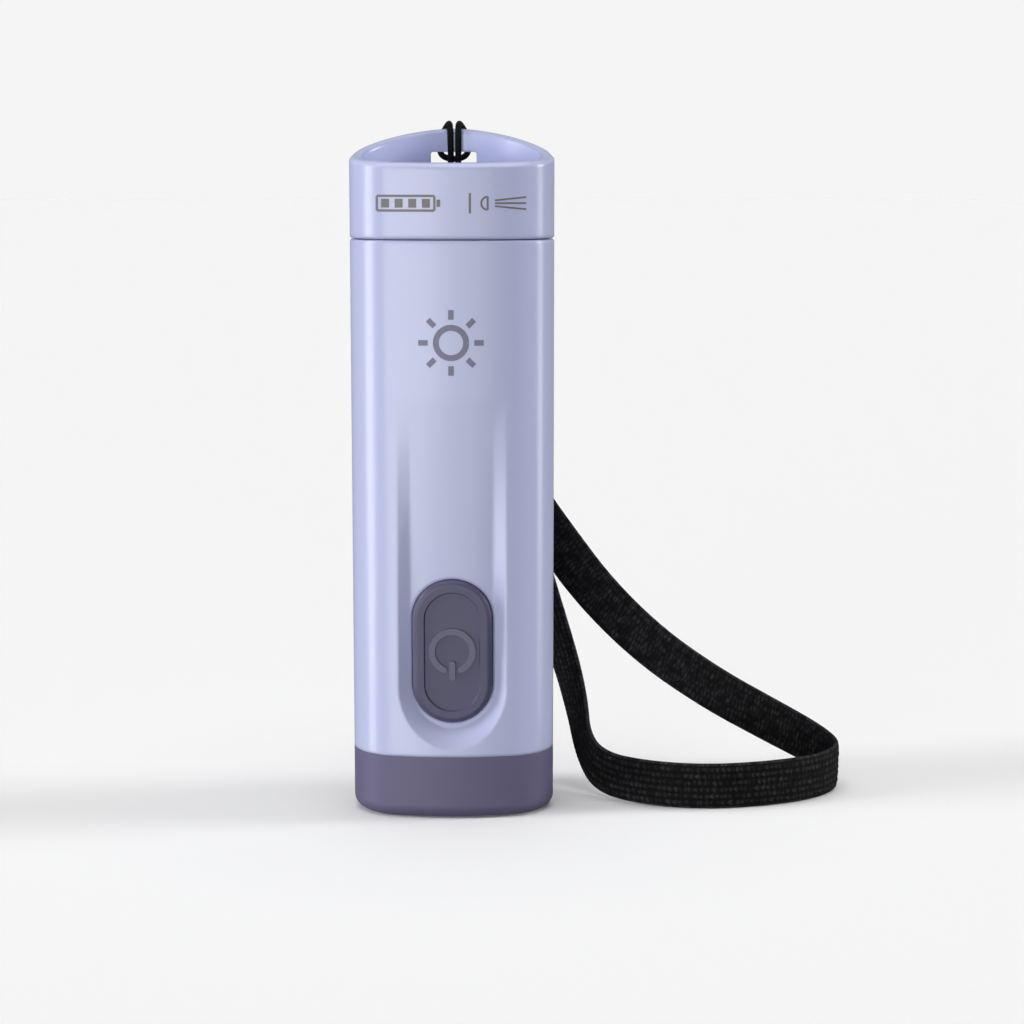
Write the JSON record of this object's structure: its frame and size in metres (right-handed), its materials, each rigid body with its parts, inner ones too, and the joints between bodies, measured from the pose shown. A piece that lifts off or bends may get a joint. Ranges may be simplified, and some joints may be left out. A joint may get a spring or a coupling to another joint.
{
  "type": "keychain flashlight",
  "caption": "Pocket flashlight with a rounded-triangle body that stands on its lens end, a recessed power button, a pull-off tail cap with an open hoop and a webbing wrist loop.",
  "frame": {"origin": "middle of the base, where the bezel's flat foot meets the table, at the middle of the body's width and depth", "axes": "+Z from the light end up to the tail hoop, -Y towards the button, +X to the right of the button"},
  "size_m": [0.0657, 0.0258, 0.089],
  "materials": {
    "shell_plastic": "satin moulded plastic, pale lavender",
    "bezel_plastic": "soft-touch moulded plastic, dark purple grey",
    "button_rubber": "matte elastomer, dark purple grey",
    "symbol_rubber": "matte elastomer, a shade lighter than the button",
    "frame_plastic": "moulded plastic, black",
    "switch_plastic": "moulded plastic, black",
    "board": "glass-fibre circuit board, green",
    "led_board": "metal-core board, white mask",
    "chip_plastic": "moulded component bodies",
    "led_phosphor": "phosphor under silicone",
    "contact_metal": "plated spring brass",
    "heat_spreader": "blanked aluminium",
    "lens_clear": "clear moulded window",
    "seal_rubber": "nitrile rubber",
    "reflector_mirror": "vacuum-metallised plastic",
    "screw_steel": "zinc-plated steel",
    "cell_steel": "nickel-plated steel",
    "cell_sleeve": "printed film, plain",
    "spring_steel": "plated spring steel",
    "clamp_plastic": "moulded plastic, black",
    "cord_fabric": "braided polyester, black",
    "strap_fabric": "woven polyester webbing, black"
  },
  "bodies": {
    "body": {"main_shell": "shell_plastic", "light_bezel": "bezel_plastic", "button_retainer": "frame_plastic", "inner_frame": "frame_plastic", "switch_housing": "switch_plastic", "driver_board": "board", "led_board": "led_board", "driver_chips": "chip_plastic", "led_emitter": "led_phosphor", "led_pins": "contact_metal", "heat_spreader": "heat_spreader", "lens": "lens_clear", "lens_seal": "seal_rubber", "reflector": "reflector_mirror", "engine_screws": "screw_steel", "battery_cell": "cell_steel", "battery_sleeve": "cell_sleeve", "positive_contact": "contact_metal", "ground_strip": "contact_metal"},
    "button": {"button_pad": "button_rubber", "power_symbol": "symbol_rubber", "switch_plunger": "switch_plastic"},
    "tail": {"tail_cap": "shell_plastic", "tail_ring": "seal_rubber", "tail_contact": "contact_metal", "plate_screws": "screw_steel", "tail_spring": "spring_steel", "strap_clamp": "clamp_plastic", "lanyard_cord": "cord_fabric", "lanyard_strap": "strap_fabric"}
  },
  "joints": [
    {"name": "button_press", "type": "slide", "parent": "body", "child": "button", "axis": [0, 0.9993, 0.0375], "range_m": [0, 0.0005], "stiffness_N_per_m": 1500},
    {"name": "tail_cap_pull", "type": "slide", "parent": "body", "child": "tail", "axis": [0, 0, 1], "range_m": [0, 0.012]}
  ]
}
